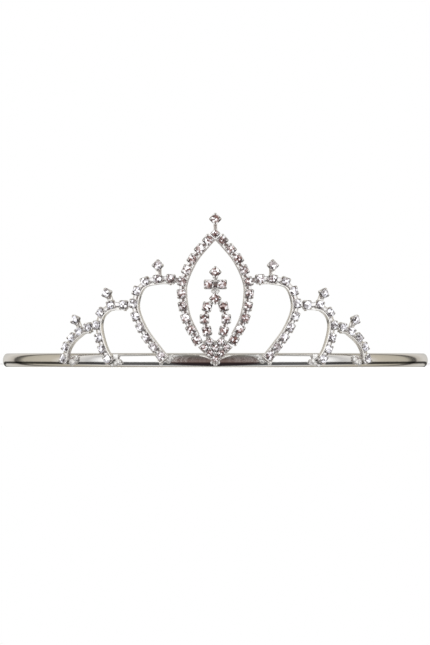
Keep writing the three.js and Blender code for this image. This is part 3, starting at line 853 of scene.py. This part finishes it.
def bandSection():
    corner = band["lip"]
    dome = band["depth"] - band["lip"]
    half = band["height"] / 2

    def bow(height, width, start, end, count):
        points = []
        for i in range(count + 1):
            angle = start + (end - start) * i / count
            points.append((corner + width * math.cos(angle), height * math.sin(angle), 0))
        return points

    quarter = math.pi / 2
    inside = half - band["wall"]
    outer = bow(half, dome, -quarter, quarter, band["outerSteps"])
    inner = bow(inside, dome - band["wall"], quarter, -quarter, band["innerSteps"])
    return [(0, -half, 0)] + outer + [(0, half, 0), (0, inside, 0)] + inner + [(0, -inside, 0)]


def bandPath():
    inner = hoop["radius"] - band["depth"]
    legInner = hoop["legRadius"] - band["depth"]
    sweep = math.asin(hoop["legReach"] / hoop["legRadius"])
    nose = band["nose"] / hoop["legRadius"]
    stations = []
    for i in range(band["hoopSteps"] // 2 + 1):
        angle = math.pi * i / band["hoopSteps"]
        stations.append((inner * math.sin(angle), -inner * math.cos(angle), 1.0))
    legTurns = [((sweep - nose) * i / band["legSteps"], 1.0) for i in range(1, band["legSteps"] + 1)]
    lastBend = math.acos(band["noseTip"])
    for i in range(1, band["noseSteps"] + 1):
        bend = lastBend * i / band["noseSteps"]
        legTurns.append((sweep - nose + nose * math.sin(bend) / math.sin(lastBend), math.cos(bend)))
    for turn, share in legTurns:
        x = hoop["radius"] - hoop["legRadius"] + legInner * math.cos(turn)
        stations.append((x, legInner * math.sin(turn), share))
    mirrored = [(-x, y, share) for x, y, share in stations[1:]]
    return mirrored[::-1] + stations


def makeBandTree():
    tree, entry, leave = newTree("swept headband", [("Section", "Object"), ("Finish", "Material")])
    line = addNode(tree, "GeometryNodeMeshToCurve", {"Mesh": entry.outputs["Geometry"]})
    level = addNode(tree, "GeometryNodeSetCurveNormal", {"Curve": line.outputs[0]}, mode="Z_UP")
    outline = addNode(tree, "GeometryNodeObjectInfo", {"Object": entry.outputs["Section"]})
    section = addNode(tree, "GeometryNodeMeshToCurve", {"Mesh": outline.outputs["Geometry"]})
    closed = addNode(tree, "GeometryNodeSetSplineCyclic", {"Geometry": section.outputs[0], "Cyclic": True})
    swept = addNode(tree, "GeometryNodeCurveToMesh", {
        "Curve": level.outputs[0], "Profile Curve": closed.outputs[0], "Scale": named(tree, "share"),
        "Fill Caps": True})
    finished = addNode(tree, "GeometryNodeSetMaterial",
                       {"Geometry": swept.outputs[0], "Material": entry.outputs["Finish"]})
    real = addNode(tree, "GeometryNodeRealizeInstances", {0: finished.outputs[0]})
    tree.links.new(real.outputs[0], leave.inputs[0])
    return tree


stations = bandPath()
pathMesh = planMesh("headbandPath", [(x, y + hoop["centre"], band["height"] / 2) for x, y, _ in stations],
                    [(i, i + 1) for i in range(len(stations) - 1)])
attribute(pathMesh, "share", "POINT", [share for _, _, share in stations])
outline = bandSection()
sectionPattern = patternObject("bandSection", planMesh(
    "bandSection", outline, [(i, (i + 1) % len(outline)) for i in range(len(outline))]))
headband = growPiece("headband_shell", pathMesh, makeBandTree(),
                     {"Section": sectionPattern, "Finish": bandFinish})
smooth(headband, band["sharp"])
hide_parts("headband")
print("headband swept")

for pattern in (cupPattern, smallCupPattern, stonePattern, smallStonePattern, linkPattern, smallLinkPattern,
                sectionPattern):
    bpy.data.objects.remove(pattern)


# Studio: pale floor, soft light, camera level with the headband

studio = {
    "distance": 1.2, "across": -0.11 * mm, "height": 1.74 * mm, "tilt": 0.62, "lens": 202.9, "sensor": 36.0,
    "farthest": 20.0,
    "floorSize": 6.0, "floorCloud": 5.0, "floorRough": 0.7,
    "floorDark": (0.90, 0.90, 0.90, 1), "floorLight": (0.93, 0.93, 0.93, 1),
    "keyPlace": (-0.5, -0.9, 0.8), "keyPower": 9.0, "fillPlace": (0.7, -0.6, 0.5), "fillPower": 5.0,
    "lightSize": 0.7, "lightAim": (0.0, 0.0, 0.02),
}


def makeFloor():
    bpy.ops.mesh.primitive_plane_add(size=studio["floorSize"])
    floor = bpy.context.object
    floor.name = "floor"
    material = bpy.data.materials.new("pale floor")
    material.use_nodes = True
    tree = material.node_tree
    place = addNode(tree, "ShaderNodeTexCoord").outputs["Object"]
    cloud = addNode(tree, "ShaderNodeTexNoise", {"Vector": place, "Scale": studio["floorCloud"]})
    colour = mixColours(tree, cloud.outputs[0], studio["floorDark"], studio["floorLight"])
    shader = tree.nodes["Principled BSDF"]
    tree.links.new(colour, shader.inputs["Base Color"])
    shader.inputs["Roughness"].default_value = studio["floorRough"]
    floor.data.materials.append(material)
    floor.visible_glossy = False


# What the polished metal sees: a dark room in front, white panels beside it and warm walls beyond. Heights
# are measured along a leaning horizon, so that a dark line runs evenly along the curved headband. The tones
# are tuned to the photo's headband. The camera and the diffuse light see plain white tones instead.
surround = {
    "frontEdge": (24.0, 29.0),     # degrees either side of the front, where the dark room ends
    # colours all round, by share of the half turn from front to back
    "around": [(0.0, (1.2, 1.2, 1.2)), (0.34, (1.2, 1.2, 1.2)), (0.40, (0.62, 0.61, 0.60)),
               (0.47, (0.88, 0.86, 0.83)), (0.55, (0.60, 0.55, 0.46)), (0.70, (0.50, 0.46, 0.38)),
               (0.735, (0.15, 0.14, 0.12)), (0.768, (0.09, 0.08, 0.075)), (0.785, (0.55, 0.51, 0.45)),
               (0.86, (0.70, 0.67, 0.62)), (1.0, (0.55, 0.54, 0.51))],
    # how they darken by height, with the horizon at 0.5, and a line above them that fades out
    "upward": [(0.0, (0.9, 0.9, 0.9)), (0.04, (0.7, 0.7, 0.7)), (0.07, (0.10, 0.10, 0.10)),
               (0.33, (0.09, 0.09, 0.09)), (0.37, (0.8, 0.8, 0.8)), (0.40, (1, 1, 1)), (1.0, (1, 1, 1))],
    "topLine": [(0.84, (1, 1, 1)), (0.87, (0.30, 0.30, 0.29)), (1.0, (0.34, 0.34, 0.32))],
    "topLineEnd": (60.0, 85.0),
    # the dark room by height, with pale streaks
    "front": [(0.05, (0.10, 0.09, 0.08)), (0.08, (0.035, 0.028, 0.03)), (0.27, (0.022, 0.016, 0.018)),
              (0.33, (0.08, 0.05, 0.045)), (0.39, (0.155, 0.10, 0.09)), (0.43, (0.215, 0.15, 0.135)),
              (0.50, (0.14, 0.095, 0.085)), (0.58, (0.115, 0.08, 0.073)), (0.68, (0.107, 0.085, 0.08)),
              (0.77, (0.15, 0.135, 0.12)), (0.85, (0.21, 0.20, 0.175)), (0.90, (0.33, 0.32, 0.28))],
    "streakBand": [(0.33, (0, 0, 0)), (0.39, (1, 1, 1)), (0.66, (1, 1, 1)), (0.82, (0, 0, 0))],
    "streaks": 34.0, "streakColour": (0.5, 0.46, 0.44, 1), "streakEdges": (0.50, 0.54),
    "streakReach": (6.0, 20.0), "streakLeast": 0.2,
    "ripple": 0.10, "ripples": 26.0, "bandDetail": 2.0,
    "level": 0.4, "lean": (1.07, -0.19), "leastLean": 0.1,
    "softColour": (0.95, 0.95, 0.96, 1), "backdrop": (1.0, 1.0, 1.0, 1),
}


def makeWorld():
    world = bpy.data.worlds.new("studio")
    scene.world = world
    world.use_nodes = True
    tree = world.node_tree
    background = tree.nodes["Background"]
    ray = addNode(tree, "ShaderNodeTexCoord").outputs["Generated"]
    split = addNode(tree, "ShaderNodeSeparateXYZ", {0: ray})
    toFront = maths(tree, "MULTIPLY", split.outputs["Y"], -1.0)
    bearing = maths(tree, "ARCTAN2", split.outputs["X"], toFront)
    turn = maths(tree, "ABSOLUTE", bearing)

    def banded(frequency):
        phase = maths(tree, "MULTIPLY", bearing, frequency)
        noise = {"W": phase, "Scale": 1.0, "Detail": surround["bandDetail"]}
        return addNode(tree, "ShaderNodeTexNoise", noise, noise_dimensions="1D").outputs[0]

    def turned(degrees, low=0.0, high=1.0):
        start, end = [math.radians(angle) for angle in degrees]
        return ranged(tree, turn, start, end, low, high)

    share = maths(tree, "MULTIPLY_ADD", turn, surround["lean"][1], surround["lean"][0])
    lean = maths(tree, "MULTIPLY", maths(tree, "COSINE", maths(tree, "MULTIPLY", turn, 0.5)), share)
    level = maths(tree, "DIVIDE", split.outputs["Z"], maths(tree, "MAXIMUM", lean, surround["leastLean"]))
    wave = maths(tree, "SUBTRACT", banded(surround["ripples"]), 0.5)
    ripple = maths(tree, "MULTIPLY", wave, surround["ripple"])
    upShare = maths(tree, "MULTIPLY_ADD", maths(tree, "ADD", level, ripple), surround["level"], 0.5)
    around = ramped(tree, maths(tree, "DIVIDE", turn, math.pi), surround["around"])
    upward = ramped(tree, upShare, surround["upward"])
    topLine = ramped(tree, upShare, surround["topLine"])
    lined = mixColours(tree, turned(surround["topLineEnd"], 1.0, 0.0), upward, topLine, "MULTIPLY")
    beside = mixColours(tree, 1.0, around, lined, "MULTIPLY")
    streak = ranged(tree, banded(surround["streaks"]), *surround["streakEdges"])
    reach = turned(surround["streakReach"], surround["streakLeast"])
    streakBand = ramped(tree, upShare, surround["streakBand"])
    lit = maths(tree, "MULTIPLY", maths(tree, "MULTIPLY", streak, reach), streakBand)
    streaked = mixColours(tree, lit, ramped(tree, upShare, surround["front"]), surround["streakColour"])
    reflected = mixColours(tree, turned(surround["frontEdge"]), streaked, beside)
    path = addNode(tree, "ShaderNodeLightPath")
    soft = mixColours(tree, path.outputs["Is Diffuse Ray"], reflected, surround["softColour"])
    final = mixColours(tree, path.outputs["Is Camera Ray"], soft, surround["backdrop"])
    tree.links.new(final, background.inputs["Color"])
    background.inputs["Strength"].default_value = 1.0


def makeLight(name, place, power):
    data = bpy.data.lights.new(name, "AREA")
    data.size = studio["lightSize"]
    data.energy = power
    lamp = bpy.data.objects.new(name, data)
    lamp.location = place
    lamp.rotation_euler = (Vector(studio["lightAim"]) - Vector(place)).to_track_quat("-Z", "Y").to_euler()
    lamp.visible_glossy = False
    scene.collection.objects.link(lamp)


def makeCamera():
    data = bpy.data.cameras.new("camera")
    data.lens = studio["lens"]
    data.sensor_width = studio["sensor"]
    data.clip_end = studio["farthest"]
    camera = bpy.data.objects.new("camera", data)
    camera.location = (studio["across"], hoop["centre"] - studio["distance"], studio["height"])
    camera.rotation_euler = (math.radians(90 + studio["tilt"]), 0, 0)
    scene.collection.objects.link(camera)
    scene.camera = camera


makeFloor()
makeWorld()
makeLight("keyLight", studio["keyPlace"], studio["keyPower"])
makeLight("fillLight", studio["fillPlace"], studio["fillPower"])
makeCamera()
scene.view_settings.view_transform = "Standard"
print("studio ready")
